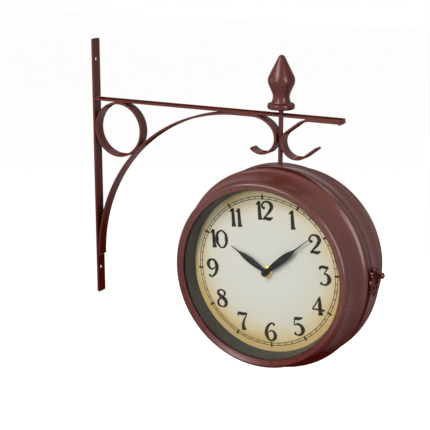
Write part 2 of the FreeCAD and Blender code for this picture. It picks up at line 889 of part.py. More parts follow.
def thumb_knob():
    """Turned knob riveted on the lever, for the thumb."""
    knob = spun(polygon([
        point(0, 0), point(thumb_stem_r, 0), point(thumb_stem_r, thumb_neck),
        point(thumb_head_r, thumb_neck), point(thumb_head_r, thumb_rim),
        point(thumb_crown_r, thumb_reach), point(0, thumb_reach),
    ]))
    knob.rotate(ORIGIN, Y_AXIS, 90)
    knob.translate(V(clasp_face_x, thumb_y, thumb_z))
    return knob


def clasp_screw():
    """Shouldered screw that the lever turns on."""
    head_x = clasp_face_x + clasp_head_gap
    foot_x = hoop_r - hoop_wall
    place = V(foot_x, 0, clasp_pivot_z)
    shank = Part.makeCylinder(clasp_pivot_r, head_x - foot_x, place, X_AXIS)
    head = Part.makeCylinder(clasp_head_r, clasp_head_thick, V(head_x, 0, clasp_pivot_z), X_AXIS)
    tip_x = head_x + clasp_head_thick
    slot = bar((tip_x - clasp_slot, tip_x), (-clasp_slot / 2, clasp_slot / 2),
               (clasp_pivot_z - clasp_head_r, clasp_pivot_z + clasp_head_r))
    return shank.fuse(head.cut(slot))


# ---------------------------------------------------------------- the whole clock
def dial_side():
    """Pieces that each dial has, in its reader's frame."""
    return {
        "glass": glass(),
        "reveal_ring": reveal_ring(),
        "dial": dial(),
        "dial_pan": dial_pan(),
        "pan_clips": pan_clips(),
        "movement": movement(),
        "dial_nut": dial_nut(),
        "battery": cell(),
        "battery_contacts": cell_contacts(),
        "hour_pipe": hour_pipe(),
        "hour_hand": hour_hand(),
        "minute_arbor": minute_arbor(),
        "minute_hand": minute_hand(),
        "cap_nut": cap_nut(),
        "set_knob": set_knob(),
    }


def all_nodes():
    nodes = {
        "wall_bar": wall_bar(),
        "arm_bar": arm_bar(),
        "corner_ring": corner_ring(),
        "brace_scroll": brace_scroll(),
        "outer_scroll": outer_scroll(),
        "hanger_rod": hanger_rod(),
        "rod_washer": rod_washer(),
        "rod_nut": rod_nut(),
        "finial": finial(),
        "centre_hoop": seat_front(centre_hoop()),
        "rear_shell": seat_rear(case_shell(hoop_half)),
        "front_shell": seat_front(case_shell(rim_z)),
        "hinge_leaf_fixed": seat_front(hinge_leaf_fixed()),
        "hinge_leaf_moving": seat_front(hinge_leaf_moving()),
        "hinge_pin": seat_front(hinge_pin()),
        "clasp_base": seat_front(clasp_base()),
        "clasp_keeper": seat_front(clasp_keeper()),
        "clasp_lever": seat_front(clasp_lever()),
        "clasp_thumb_knob": seat_front(thumb_knob()),
        "clasp_screw": seat_front(clasp_screw()),
    }
    welded = [nodes[name] for name in ("wall_bar", "arm_bar", "corner_ring", "brace_scroll",
                                       "outer_scroll", "hanger_rod", "centre_hoop")]
    nodes["weld_beads"] = weld_beads(welded)
    for name, shape in dial_side().items():
        nodes["front_" + name] = seat_front(shape)
        nodes["rear_" + name] = seat_rear(shape)
    return nodes


os.makedirs("parts", exist_ok=True)
for node, solid in all_nodes().items():
    solid.exportStep("parts/" + node + ".step")
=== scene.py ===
import json
from math import acos, atan2, cos, hypot, pi, radians, sin, sqrt

import bmesh
import bpy
from mathutils import Matrix, Vector


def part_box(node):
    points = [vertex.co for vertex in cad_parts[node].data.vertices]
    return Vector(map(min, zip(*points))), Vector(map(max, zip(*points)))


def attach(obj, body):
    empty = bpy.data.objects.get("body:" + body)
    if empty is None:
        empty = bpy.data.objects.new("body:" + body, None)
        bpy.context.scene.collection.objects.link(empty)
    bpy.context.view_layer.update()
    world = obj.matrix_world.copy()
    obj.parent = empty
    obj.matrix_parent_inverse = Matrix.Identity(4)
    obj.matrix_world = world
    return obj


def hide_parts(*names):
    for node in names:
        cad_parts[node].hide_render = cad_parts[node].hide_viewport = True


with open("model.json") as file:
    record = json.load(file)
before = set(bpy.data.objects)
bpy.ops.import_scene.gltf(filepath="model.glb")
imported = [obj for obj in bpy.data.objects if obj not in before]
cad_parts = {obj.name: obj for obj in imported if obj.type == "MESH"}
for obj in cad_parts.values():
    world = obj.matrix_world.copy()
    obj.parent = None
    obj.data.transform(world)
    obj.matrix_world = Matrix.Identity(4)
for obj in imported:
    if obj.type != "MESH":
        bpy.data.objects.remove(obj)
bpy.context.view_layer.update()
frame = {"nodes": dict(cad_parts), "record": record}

MM = 0.001


# ---------------------------------------------------------------- places, from the frame
def middle(node):
    low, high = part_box(node)
    return (low + high) / 2


case_centre = middle("centre_hoop")
clock_x = case_centre.x
clock_middle = Vector((clock_x, 0, case_centre.z))
case_half_depth = -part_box("front_shell")[0].y
dial_front = -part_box("front_dial")[0].y
shell_rims = {"front": -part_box("front_shell")[1].y, "rear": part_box("rear_shell")[0].y}
finial_foot, finial_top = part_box("finial")

# each face of the clock: its name, the body it rides on and its way out along Y
faces = (("front", "front_cover", -1), ("rear", "bracket_and_rear_case", 1))

# ---------------------------------------------------------------- sizes of the scene's own pieces
# case in section, as radius and distance from the middle of the clock
hoop_r = 109.0 * MM
hoop_half = 4.3 * MM
hoop_inner_r = 105.4 * MM
register_r = 106.9 * MM
register_half = 9.0 * MM
shell_r = 108.5 * MM
shell_wall = 1.2 * MM
bead_r = 109.28 * MM
bead_z = 16.6 * MM
bead_half = 2.5 * MM
bead_rise_r = 0.25 * MM
bead_rise_z = 1.1 * MM
slope_r = 108.1 * MM
slope_z = 18.35 * MM
cove_r = 106.5 * MM
cove_z = 19.8 * MM
cove_sag_r = 101.0 * MM
cove_sag_z = 30.8 * MM
lip_r = 100.0 * MM
lip_roll_r = 3.5 * MM
lip_rise = 50.0
lip_edge_r = 99.4 * MM
lip_edge_z = 47.9 * MM
lip_crest_r = 97.2 * MM
lip_swell_r = 0.14 * MM
lip_swell_z = 0.15 * MM
lip_turn_r = 0.55 * MM
lip_turn_z = 0.14 * MM
lip_fall_r = 1.0 * MM
lip_fall_z = 0.42 * MM
lip_inner_r = 92.6 * MM
lip_inner_z = 48.3 * MM
roll_room = 1.4
hem_r = 91.4 * MM
hem_swell_r = 0.35 * MM
hem_swell_z = 0.1 * MM
hem_turn_z = 47.4 * MM
hem_z = 46.4 * MM

# rounded edges; quarter_in is how far the middle of a quarter round lies inside its corner
edge_r = 0.45 * MM
quarter_in = 0.29
bar_edge = 0.45 * MM
rod_edge = 0.3 * MM
cast_edge = 0.25 * MM

# facets of a full turn, and the angle up to which neighbouring facets look smooth
case_turns = 288
finial_turns = 128
ring_turns = 240
case_smooth = 28
finial_smooth = 40

# finial outline in millimetres, as radius and height above its foot
flange_foot_r = 11.9
flange_under = (13.75, 0.75)
flange_r = 14.4
flange_low = 2.5
flange_high = 4.2
flange_over = (13.95, 5.5)
flange_top = (12.7, 6.2)
waist_dip = (11.7, 6.3)
waist_low = 6.6
waist_r = 8.8
waist_centre = (19.8, 13.0)
bulb_r = 14.2
bulb_centre = (3.2, 30.0)
curve_r = 11.0
curves_meet = (11.5, 21.5)
tip_r = 3.4
tip_drop = 2.1
dome_r = 1.9
dome_drop = 0.62

# printed dial
print_turn = -4.75
print_lift = 0.06 * MM
track_r = 81.2 * MM
track_gap = 2.6 * MM
track_line = 0.75 * MM
minute_tick = 0.85 * MM
hour_tick = 2.1 * MM
hour_bar_over = 0.3 * MM
hour_spike = 3.0 * MM
hour_spike_start = 0.2 * MM
hour_spike_foot = 0.62
hour_spike_tip = 0.12 * MM
inner_spike = 1.5 * MM
inner_spike_foot = 0.4
inner_spike_tip = 0.15 * MM
numeral_ring_r = 66.2 * MM
numeral_height = 20.2 * MM
figure_pitch = {"10": 0.50, "11": 0.36, "12": 0.47}
pen_weight = 1.38
pen_extra = 0.012
pen_steps = 10

# ---------------------------------------------------------------- room, lamps and camera
floor_height = -0.62
floor_half = 8
floor_shade = (0.42, 0.42, 0.42, 1)
floor_glow = 0.86
fill_light = 0.12
white = (1, 1, 1, 1)

# each lamp: place, width and height in metres, and watts
softboxes = {
    "left_box": ((-0.28, -1.78, 0.79), 0.30, 1.6, 25),
    "right_box": ((1.87, -0.85, 0.62), 0.34, 1.6, 28),
    "top_box": ((-0.48, -0.92, 1.21), 1.5, 0.18, 17),
    "side_box": ((-1.4, -0.75, 0.1), 0.9, 1.2, 10),
    "back_box": ((-0.3, 1.8, 0.1), 1.0, 1.0, 8),
}

camera_lens = 99.13
camera_sensor = 36
camera_near = 0.05
camera_eye = Vector((0.7756, -1.0966, 0.2806))
camera_target = Vector((0.1555, 0, -0.0403))


# ---------------------------------------------------------------- mesh tools
def piece(name, bm, body, material, replaces=(), smooth_angle=35):
    """Makes the finished object: soft faces with crisp edges, on its body."""
    for face in bm.faces:
        face.smooth = True
    for edge in bm.edges:
        if len(edge.link_faces) == 2:
            edge.smooth = edge.calc_face_angle(0) < radians(smooth_angle)
    mesh = bpy.data.meshes.new(name)
    bm.to_mesh(mesh)
    bm.free()
    obj = bpy.data.objects.new(name, mesh)
    bpy.context.scene.collection.objects.link(obj)
    obj.data.materials.append(material)
    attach(obj, body)
    if replaces:
        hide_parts(*replaces)
    return obj


def arc(start, through, end, steps):
    """Points of the circular arc through three points of a profile, without its start."""
    ax, ay = start
    bx, by = through
    cx, cy = end
    a_square = ax * ax + ay * ay
    b_square = bx * bx + by * by
    c_square = cx * cx + cy * cy
    d = 2 * (ax * (by - cy) + bx * (cy - ay) + cx * (ay - by))
    ux = (a_square * (by - cy) + b_square * (cy - ay) + c_square * (ay - by)) / d
    uy = (a_square * (cx - bx) + b_square * (ax - cx) + c_square * (bx - ax)) / d
    radius = sqrt((ax - ux) ** 2 + (ay - uy) ** 2)
    first = atan2(ay - uy, ax - ux)
    last = atan2(cy - uy, cx - ux)
    between_them = atan2(by - uy, bx - ux)
    turn = (last - first) % (2 * pi)
    if (between_them - first) % (2 * pi) > turn:
        turn -= 2 * pi
    angles = [first + turn * i / steps for i in range(1, steps + 1)]
    return [(ux + radius * cos(angle), uy + radius * sin(angle)) for angle in angles]


def lathe(profile, centre, axis, closed=False, steps=case_turns):
    """Spins a profile of (radius, height) about an axis through the centre."""
    bm = bmesh.new()
    across = Vector((1, 0, 0)) if abs(axis.x) < 0.5 else Vector((0, 0, 1))
    verts = [bm.verts.new(centre + across * r + axis * h) for r, h in profile]
    edges = [bm.edges.new(pair) for pair in zip(verts, verts[1:])]
    if closed:
        edges.append(bm.edges.new((verts[-1], verts[0])))
    bmesh.ops.spin(bm, geom=verts + edges, cent=centre, axis=axis, angle=2 * pi,
                   steps=steps, use_merge=True)
    bmesh.ops.remove_doubles(bm, verts=bm.verts, dist=1e-6)
    bmesh.ops.recalc_face_normals(bm, faces=bm.faces)
    return bm


def merged_copy(node):
    """A closed copy of a CAD node, its flat faces whole again."""
    bm = bmesh.new()
    bm.from_mesh(frame["nodes"][node].data)
    bmesh.ops.remove_doubles(bm, verts=bm.verts, dist=1e-6)
    bmesh.ops.dissolve_limit(bm, angle_limit=radians(0.5), verts=bm.verts, edges=bm.edges)
    return bm


def body_of(node):
    bodies = frame["record"]["behaviour"]["bodies"]
    return next(body for body, names in bodies.items() if node in names)


def softened(node, material, width):
    """Stands for a CAD node, with its sharp edges rounded."""
    obj = piece(node + "_dressed", merged_copy(node), body_of(node), material, (node,))
    bevel = obj.modifiers.new("edges", "BEVEL")
    bevel.width = width
    bevel.segments = 2
    bevel.limit_method = "ANGLE"
    bevel.angle_limit = radians(40)
    bevel.use_clamp_overlap = True


def put_finish(node, material):
    """A CAD node whose shape stays gets its finish."""
    slots = frame["nodes"][node].data.materials
    slots.clear()
    slots.append(material)


# ---------------------------------------------------------------- shader tools
# noise scales are in waves per metre, bump distances in metres
def shader(name):
    material = bpy.data.materials.new(name)
    material.use_nodes = True
    nodes = material.node_tree.nodes
    place = nodes.new("ShaderNodeTexCoord")
    return material, material.node_tree, nodes["Principled BSDF"], place.outputs["Object"]


def noise(tree, place, scale, detail=3.0):
    node = tree.nodes.new("ShaderNodeTexNoise")
    node.inputs["Scale"].default_value = scale
    node.inputs["Detail"].default_value = detail
    node.inputs["Roughness"].default_value = 0.55
    tree.links.new(place, node.inputs["Vector"])
    return node.outputs["Fac"]


def between(tree, fac, low, high, start=0.0, end=1.0):
    """Maps a factor from the span start..end to low..high."""
    node = tree.nodes.new("ShaderNodeMapRange")
    node.inputs["From Min"].default_value = start
    node.inputs["From Max"].default_value = end
    node.inputs["To Min"].default_value = low
    node.inputs["To Max"].default_value = high
    tree.links.new(fac, node.inputs["Value"])
    return node.outputs["Result"]


def blend_colours(tree, fac, stops):
    node = tree.nodes.new("ShaderNodeValToRGB")
    ramp = node.color_ramp
    while len(ramp.elements) < len(stops):
        ramp.elements.new(0.5)
    for element, (place, colour) in zip(ramp.elements, stops):
        element.position = place
        element.color = (*colour, 1)
    tree.links.new(fac, node.inputs["Fac"])
    return node.outputs["Color"]


def two_tone(tree, fac, shades):
    """Drifts between two shades of one finish."""
    return blend_colours(tree, fac, [(0.3, shades[0]), (0.7, shades[1])])


def bump(tree, bsdf, height, strength, distance=0.0001):
    node = tree.nodes.new("ShaderNodeBump")
    node.inputs["Strength"].default_value = strength
    node.inputs["Distance"].default_value = distance
    tree.links.new(height, node.inputs["Height"])
    tree.links.new(node.outputs["Normal"], bsdf.inputs["Normal"])


def blended(tree, fac, first, second, kind="FLOAT"):
    """Mixes two values or two colours."""
    node = tree.nodes.new("ShaderNodeMix")
    node.data_type = kind
    first_in, out = (6, 2) if kind == "RGBA" else (2, 0)
    tree.links.new(fac, node.inputs[0])
    tree.links.new(first, node.inputs[first_in])
    tree.links.new(second, node.inputs[first_in + 1])
    return node.outputs[out]


def combined(nodes, links, operation, first, second):
    """One number made from two."""
    node = nodes.new("ShaderNodeMath")
    node.operation = operation
    links.new(first, node.inputs[0])
    links.new(second, node.inputs[1])
    return node.outputs["Value"]


# ---------------------------------------------------------------- finishes
# painted sheen and shade: the paint turns lighter and greyer towards this side (up and a little
# right) and stays dark red below; how far the change reaches, as a share of the hoop's radius
sheen_side = Vector((0.3, 0, 0.95))
sheen_reach = 0.5
# the enamel's own dark red, and a lighter, greyer red that is painted sheen
fresh_oxide = ((0.058, 0.0052, 0.0024), (0.074, 0.0068, 0.0032))
sheened_oxide = ((0.076, 0.0150, 0.0100), (0.094, 0.0200, 0.0135))

# gloss of the paint seen straight on, as a share of its sheen, and the slants between which it
# fades away, in the plain dark paint below and under the painted sheen above
plain_gloss = 0.6
fresh_gloss = 0.9
fresh_slants = (0.03, 0.28)
sheened_slants = (0.18, 0.80)

# dial stain: radius where it is full, its drift down the dial and the depth of its clouds
stain_r = 0.088
stain_half_height = 0.085
stain_drift = 0.10
stain_cloud = 0.24
dial_tones = [
    (0.48, (0.74, 0.72, 0.66)), (0.74, (0.74, 0.69, 0.56)),
    (0.88, (0.73, 0.60, 0.34)), (0.97, (0.64, 0.45, 0.16)),
]


def oxide_paint(name, painted_sheen, rough=(0.24, 0.32), sheen=0.42):
    """Glossy oxide-red stove enamel with a faint orange peel, painted lighter and greyer towards
    the top and right as painted sheen, darker red below as painted shade.
    """
    material, tree, bsdf, place = shader(name)
    along = tree.nodes.new("ShaderNodeVectorMath")
    along.operation = "DOT_PRODUCT"
    along.inputs[1].default_value = sheen_side
    tree.links.new(place, along.inputs[0])
    middle_along = sheen_side.dot(case_centre)
    # painted sheen mask: none below the middle, rising to the given strength towards the upper
    # right
    painted_sheen_fac = between(tree, along.outputs["Value"], 0.0, painted_sheen,
                       middle_along - hoop_r * sheen_reach, middle_along + hoop_r * sheen_reach)
    drift = noise(tree, place, 22.0)
    fresh = two_tone(tree, drift, fresh_oxide)
    sheened = two_tone(tree, drift, sheened_oxide)
    tree.links.new(blended(tree, painted_sheen_fac, fresh, sheened, "RGBA"), bsdf.inputs["Base Color"])
    tree.links.new(between(tree, noise(tree, place, 60.0), *rough), bsdf.inputs["Roughness"])
    slant = tree.nodes.new("ShaderNodeLayerWeight")
    slant.inputs["Blend"].default_value = 0.5
    facing = slant.outputs["Facing"]
    low_gloss = between(tree, facing, sheen * fresh_gloss, 0.0, *fresh_slants)
    high_gloss = between(tree, facing, sheen, 0.0, *sheened_slants)
    bsdf.inputs["Specular IOR Level"].default_value = sheen * plain_gloss
    # the gloss follows the painted sheen mask too: at a slant it fades sooner lower down
    tree.links.new(blended(tree, painted_sheen_fac, low_gloss, high_gloss),
                   bsdf.inputs["Specular IOR Level"])
    bump(tree, bsdf, noise(tree, place, 900.0, 2.0), 0.08)
    return material


def weld_paint():
    """The same enamel over a rippled weld."""
    material, tree, bsdf, place = shader("weld_paint")
    shades = ((0.06, 0.0085, 0.005), (0.10, 0.014, 0.008))
    tree.links.new(two_tone(tree, noise(tree, place, 300.0), shades), bsdf.inputs["Base Color"])
    bsdf.inputs["Roughness"].default_value = 0.4
    bump(tree, bsdf, noise(tree, place, 700.0, 2.0), 0.6, 0.0006)
    return material


def charcoal_trim():
    """Dark satin plastic of the reveal, finely grained."""
    material, tree, bsdf, place = shader("charcoal_trim")
    shades = ((0.026, 0.028, 0.025), (0.036, 0.038, 0.034))
    tree.links.new(two_tone(tree, noise(tree, place, 35.0), shades), bsdf.inputs["Base Color"])
    tree.links.new(between(tree, noise(tree, place, 500.0), 0.45, 0.6), bsdf.inputs["Roughness"])
    bump(tree, bsdf, noise(tree, place, 1600.0, 2.0), 0.15)
    return material


def dial_paper(facing):
    """Aged print: grey-white in the middle, ochre stain towards the rim and below."""
    material, tree, bsdf, place = shader("dial_print_" + facing)
    shift = tree.nodes.new("ShaderNodeMapping")
    shift.vector_type = "POINT"
    shift.inputs["Location"].default_value = (-case_centre.x, 0, -case_centre.z)
    tree.links.new(place, shift.inputs["Vector"])
    flat = tree.nodes.new("ShaderNodeVectorMath")
    flat.operation = "MULTIPLY"
    flat.inputs[1].default_value = (1, 0, 1)
    tree.links.new(shift.outputs["Vector"], flat.inputs[0])
    length = tree.nodes.new("ShaderNodeVectorMath")
    length.operation = "LENGTH"
    tree.links.new(flat.outputs["Vector"], length.inputs[0])
    axes = tree.nodes.new("ShaderNodeSeparateXYZ")
    tree.links.new(flat.outputs["Vector"], axes.inputs["Vector"])
    radius = between(tree, length.outputs["Value"], 0.0, 1.0, 0.0, stain_r)
    low = between(tree, axes.outputs["Z"], stain_drift, -stain_drift,
                  -stain_half_height, stain_half_height)
    cloud = between(tree, noise(tree, place, 16.0), -stain_cloud, stain_cloud)
    total = combined(tree.nodes, tree.links, "ADD", radius, low)
    stain = combined(tree.nodes, tree.links, "ADD", total, cloud)
    tree.links.new(blend_colours(tree, stain, dial_tones), bsdf.inputs["Base Color"])
    tree.links.new(between(tree, noise(tree, place, 260.0), 0.5, 0.62), bsdf.inputs["Roughness"])
    bump(tree, bsdf, noise(tree, place, 1200.0, 2.0), 0.05)
    return material


def print_ink():
    """Brown-black ink with slightly uneven cover."""
    material, tree, bsdf, place = shader("print_ink")
    shades = ((0.014, 0.0095, 0.0045), (0.024, 0.0165, 0.008))
    tree.links.new(two_tone(tree, noise(tree, place, 420.0), shades), bsdf.inputs["Base Color"])
    bsdf.inputs["Roughness"].default_value = 0.6
    bsdf.inputs["Specular IOR Level"].default_value = 0.1
    return material


def metal(name, shades, rough, scale):
    """Bare metal, a little uneven in colour and polish."""
    material, tree, bsdf, place = shader(name)
    tree.links.new(two_tone(tree, noise(tree, place, scale), shades), bsdf.inputs["Base Color"])
    bsdf.inputs["Metallic"].default_value = 1.0
    tree.links.new(between(tree, noise(tree, place, scale * 2), *rough), bsdf.inputs["Roughness"])
    bump(tree, bsdf, noise(tree, place, scale * 4), 0.08)
    return material


def plain(name, shades, rough, scale, grain=0.08, sheen=0.5):
    """Enamel or moulded plastic with a fine grain."""
    material, tree, bsdf, place = shader(name)
    tree.links.new(two_tone(tree, noise(tree, place, scale), shades), bsdf.inputs["Base Color"])
    tree.links.new(between(tree, noise(tree, place, scale * 3), *rough), bsdf.inputs["Roughness"])
    bsdf.inputs["Specular IOR Level"].default_value = sheen
    bump(tree, bsdf, noise(tree, place, scale * 8, 2.0), grain)
    return material


def clear_glass():
    """Flat pane that lets light straight through and mirrors a little at a slant."""
    material, tree, bsdf, place = shader("clear_glass")
    tree.nodes.remove(bsdf)
    clear = tree.nodes.new("ShaderNodeBsdfTransparent")
    tint = two_tone(tree, noise(tree, place, 12.0), ((0.985, 0.99, 0.985), (0.995, 1.0, 0.995)))
    tree.links.new(tint, clear.inputs["Color"])
    shine = tree.nodes.new("ShaderNodeBsdfGlossy")
    shine.inputs["Roughness"].default_value = 0.09
    fresnel = tree.nodes.new("ShaderNodeFresnel")
    fresnel.inputs["IOR"].default_value = 1.2
    mix = tree.nodes.new("ShaderNodeMixShader")
    tree.links.new(fresnel.outputs["Fac"], mix.inputs["Fac"])
    tree.links.new(clear.outputs["BSDF"], mix.inputs[1])
    tree.links.new(shine.outputs["BSDF"], mix.inputs[2])
    tree.links.new(mix.outputs["Shader"], tree.nodes["Material Output"].inputs["Surface"])
    return material


# the second number is how much painted sheen (lighter, greyer colour up and to the right) each
# paint gets
paint = oxide_paint("oxide_paint_case", 1.0)
bracket_paint = oxide_paint("oxide_paint_bracket", 0.5, sheen=0.35)
cast_paint = oxide_paint("oxide_paint_cast", 0.2, (0.16, 0.22), 0.5)
weld = weld_paint()
charcoal = charcoal_trim()
ink = print_ink()
glass = clear_glass()
brass = metal("brass_nut", ((0.56, 0.36, 0.09), (0.70, 0.48, 0.16)), (0.36, 0.46), 240.0)
zinc = metal("zinc_plate", ((0.42, 0.42, 0.41), (0.58, 0.58, 0.56)), (0.32, 0.45), 160.0)
black_enamel = plain("black_enamel", ((0.008, 0.008, 0.009), (0.013, 0.013, 0.014)),
                     (0.34, 0.44), 180.0, sheen=0.1)
black_works = plain("black_works", ((0.018, 0.018, 0.019), (0.026, 0.026, 0.027)),
                    (0.45, 0.6), 200.0, 0.2)
white_plastic = plain("white_plastic", ((0.70, 0.70, 0.67), (0.76, 0.76, 0.73)),
                      (0.35, 0.45), 150.0)
cell_jacket = plain("cell_jacket", ((0.05, 0.055, 0.06), (0.075, 0.08, 0.085)),
                    (0.25, 0.35), 120.0)


# ---------------------------------------------------------------- case
def shell_profile(rim):
    """Outside from the rim at the hoop to the crest of the lip, then the hem and the inside."""
    wall = shell_wall
    eased = edge_r * quarter_in
    roll_x = lip_r - lip_roll_r
    roll_z = case_half_depth - lip_roll_r
    rise = radians(lip_rise)
    neck = (roll_x + lip_roll_r * sin(rise), roll_z - lip_roll_r * cos(rise))
    bead_foot = (shell_r, bead_z - bead_half)
    bead_end = (cove_r, cove_z)
    edge = (lip_edge_r, lip_edge_z)
    shoulder = ((lip_edge_r + lip_crest_r) / 2 + lip_swell_r,
                (lip_edge_z + case_half_depth) / 2 + lip_swell_z)
    crest = (lip_crest_r, case_half_depth)
    hem_bend = (hem_r + hem_swell_r, (lip_inner_z + hem_turn_z) / 2 + hem_swell_z)
    points = [(shell_r - edge_r, rim)]
    points += arc(points[-1], (shell_r - eased, rim + eased), (shell_r, rim + edge_r), 4)
    points += [bead_foot]
    points += arc(bead_foot, (bead_r - bead_rise_r, bead_z - bead_rise_z), (bead_r, bead_z), 8)
    points += arc(points[-1], (slope_r, slope_z), bead_end, 8)
    points += arc(bead_end, (cove_sag_r, cove_sag_z), neck, 26)
    points += arc(neck, (lip_r, roll_z), edge, 16)
    points += arc(edge, shoulder, crest, 6)
    points += arc(crest, (lip_crest_r - lip_turn_r, case_half_depth - lip_turn_z),
                  (lip_crest_r - lip_fall_r, case_half_depth - lip_fall_z), 4)
    points += [(lip_inner_r, lip_inner_z)]
    points += arc(points[-1], hem_bend, (hem_r, hem_turn_z), 5)
    points += [(hem_r, hem_z), (hem_r + wall, hem_z), (hem_r + wall, hem_turn_z - wall / 2),
               (lip_inner_r + wall, lip_inner_z - wall),
               (roll_x, case_half_depth - wall * roll_room),
               (lip_r - wall, roll_z), (neck[0] - wall, neck[1] + wall / 2)]
    points += arc(points[-1], (cove_sag_r - wall, cove_sag_z),
                  (cove_r - wall, cove_z - wall / 2), 12)
    points += [(bead_r - wall, bead_z), (shell_r - wall, bead_z - bead_half),
               (shell_r - wall, rim)]
    return points


def case_shells():
    for facing, body, way_out in faces:
        bm = lathe(shell_profile(shell_rims[facing]), clock_middle, Vector((0, way_out, 0)),
                   closed=True)
        node = facing + "_shell"
        piece(node + "_spun", bm, body, paint, (node,), case_smooth)


def hoop():
    """Band between the halves, its edges rounded over, with the register inside each half."""
    eased = edge_r * quarter_in
    side = [(hoop_inner_r, register_half), (register_r, register_half), (register_r, hoop_half)]
    side += [(hoop_r - edge_r, hoop_half)]
    side += arc(side[-1], (hoop_r - eased, hoop_half - eased), (hoop_r, hoop_half - edge_r), 4)
    profile = side + [(r, -h) for r, h in reversed(side)]
    bm = lathe(profile, clock_middle, Vector((0, -1, 0)), closed=True)
    piece("hoop_spun", bm, "bracket_and_rear_case", paint, ("centre_hoop",), case_smooth)


# ---------------------------------------------------------------- dial print
def numeral_strokes():
    """Pen strokes of each figure in a cell one high, as (x, height, width of the pen)."""
    six = [(0.24, 0.86, 0.11), (0.13, 0.975, 0.06), (-0.05, 0.90, 0.08), (-0.24, 0.60, 0.13),
           (-0.26, 0.30, 0.15), (-0.02, 0.02, 0.06), (0.25, 0.28, 0.15), (0.04, 0.56, 0.06),
           (-0.19, 0.40, 0.03)]
    return {
        "0": [[(0, 0.98, 0.05), (-0.25, 0.76, 0.10), (-0.28, 0.5, 0.14), (-0.25, 0.24, 0.10),
               (0, 0.02, 0.05),
               (0.25, 0.24, 0.10), (0.28, 0.5, 0.14), (0.25, 0.76, 0.10), (0, 0.98, 0.05)]],
        "1": [[(-0.17, 0.80, 0.03), (-0.05, 0.88, 0.09), (0.03, 0.95, 0.10)],
              [(0.03, 1.0, 0.10), (0.02, 0.55, 0.13), (0.03, 0.15, 0.15), (0.04, 0.0, 0.21)]],
        "2": [[(-0.12, 0.68, 0.07), (-0.19, 0.63, 0.09), (-0.28, 0.72, 0.08),
               (-0.23, 0.88, 0.06), (0.0, 0.98, 0.07),
               (0.26, 0.78, 0.15), (0.15, 0.48, 0.12), (-0.10, 0.22, 0.06), (-0.24, 0.08, 0.04)],
              [(-0.28, 0.03, 0.04), (-0.10, 0.09, 0.11), (0.12, 0.06, 0.13), (0.31, 0.15, 0.04)]],
        "3": [[(-0.24, 0.80, 0.04), (-0.20, 0.93, 0.10), (0.20, 0.94, 0.11), (0.26, 0.96, 0.06)],
              [(0.22, 0.92, 0.05), (0.00, 0.61, 0.04)],
              [(-0.02, 0.60, 0.04), (0.16, 0.56, 0.09), (0.27, 0.33, 0.17), (0.12, 0.06, 0.09),
               (-0.10, 0.03, 0.05), (-0.24, 0.13, 0.12)]],
        "4": [[(0.10, 1.0, 0.05), (-0.12, 0.62, 0.05), (-0.34, 0.34, 0.05)],
              [(-0.35, 0.33, 0.05), (0.0, 0.31, 0.06), (0.36, 0.27, 0.08)],
              [(0.11, 1.0, 0.05), (0.10, 0.6, 0.14), (0.11, 0.2, 0.15), (0.12, 0.0, 0.21)]],
        "5": [[(-0.20, 0.93, 0.12), (0.05, 0.93, 0.12), (0.26, 0.99, 0.05)],
              [(-0.20, 0.95, 0.05), (-0.24, 0.56, 0.04)],
              [(-0.24, 0.56, 0.03), (0.02, 0.62, 0.09), (0.25, 0.35, 0.17), (0.10, 0.06, 0.09),
               (-0.10, 0.03, 0.05), (-0.25, 0.13, 0.12)]],
        "6": [six],
        "7": [[(-0.29, 0.78, 0.04), (-0.22, 0.93, 0.11), (0.0, 0.91, 0.13), (0.27, 0.95, 0.07)],
              [(0.27, 0.93, 0.04), (0.08, 0.58, 0.07), (0.0, 0.28, 0.13), (0.05, 0.0, 0.19)]],
        "8": [[(0.0, 0.98, 0.05), (-0.21, 0.82, 0.10), (-0.06, 0.60, 0.15), (0.22, 0.36, 0.16),
               (0.20, 0.10, 0.11), (0.0, 0.02, 0.05), (-0.24, 0.16, 0.10), (-0.16, 0.42, 0.07),
               (0.10, 0.60, 0.05), (0.20, 0.80, 0.09), (0.0, 0.98, 0.05)]],
        "9": [[(-x, 1 - y, w) for x, y, w in six]],
    }


def pen_profile():
    """Short straight line that turns a pen path into a flat ribbon."""
    data = bpy.data.curves.new("pen", "CURVE")
    data.dimensions = "3D"
    spline = data.splines.new("POLY")
    spline.points.add(1)
    spline.points[0].co = (-0.5, 0, 0, 1)
    spline.points[1].co = (0.5, 0, 0, 1)
    obj = bpy.data.objects.new("pen", data)
    bpy.context.scene.collection.objects.link(obj)
    return obj


def figures(pen):
    """All twelve numbers in the plane of the dial, upright in the reader's view."""
    strokes = numeral_strokes()
    data = bpy.data.curves.new("figures", "CURVE")
    data.dimensions = "2D"
    data.fill_mode = "NONE"
    data.bevel_mode = "OBJECT"
    data.bevel_object = pen
    data.resolution_u = pen_steps
    for hour in range(1, 13):
        text = str(hour)
        angle = radians(hour * 30)
        centre = Vector((sin(angle), cos(angle))) * numeral_ring_r
        for place, figure in enumerate(text):
            shift = (place - (len(text) - 1) / 2) * figure_pitch.get(text, 0)
            for stroke in strokes[figure]:
                spline = data.splines.new("BEZIER")
                spline.bezier_points.add(len(stroke) - 1)
                for point, (x, y, width) in zip(spline.bezier_points, stroke):
                    point.co = (centre.x + (x + shift) * numeral_height,
                                centre.y + (y - 0.5) * numeral_height, 0)
                    point.radius = (width * pen_weight + pen_extra) * numeral_height
                    point.handle_left_type = "AUTO"
                    point.handle_right_type = "AUTO"
    obj = bpy.data.objects.new("figures", data)
    bpy.context.scene.collection.objects.link(obj)
    bpy.context.view_layer.update()
    drawn = obj.evaluated_get(bpy.context.evaluated_depsgraph_get())
    mesh = bpy.data.meshes.new_from_object(drawn)
    bpy.data.objects.remove(obj)
    return mesh


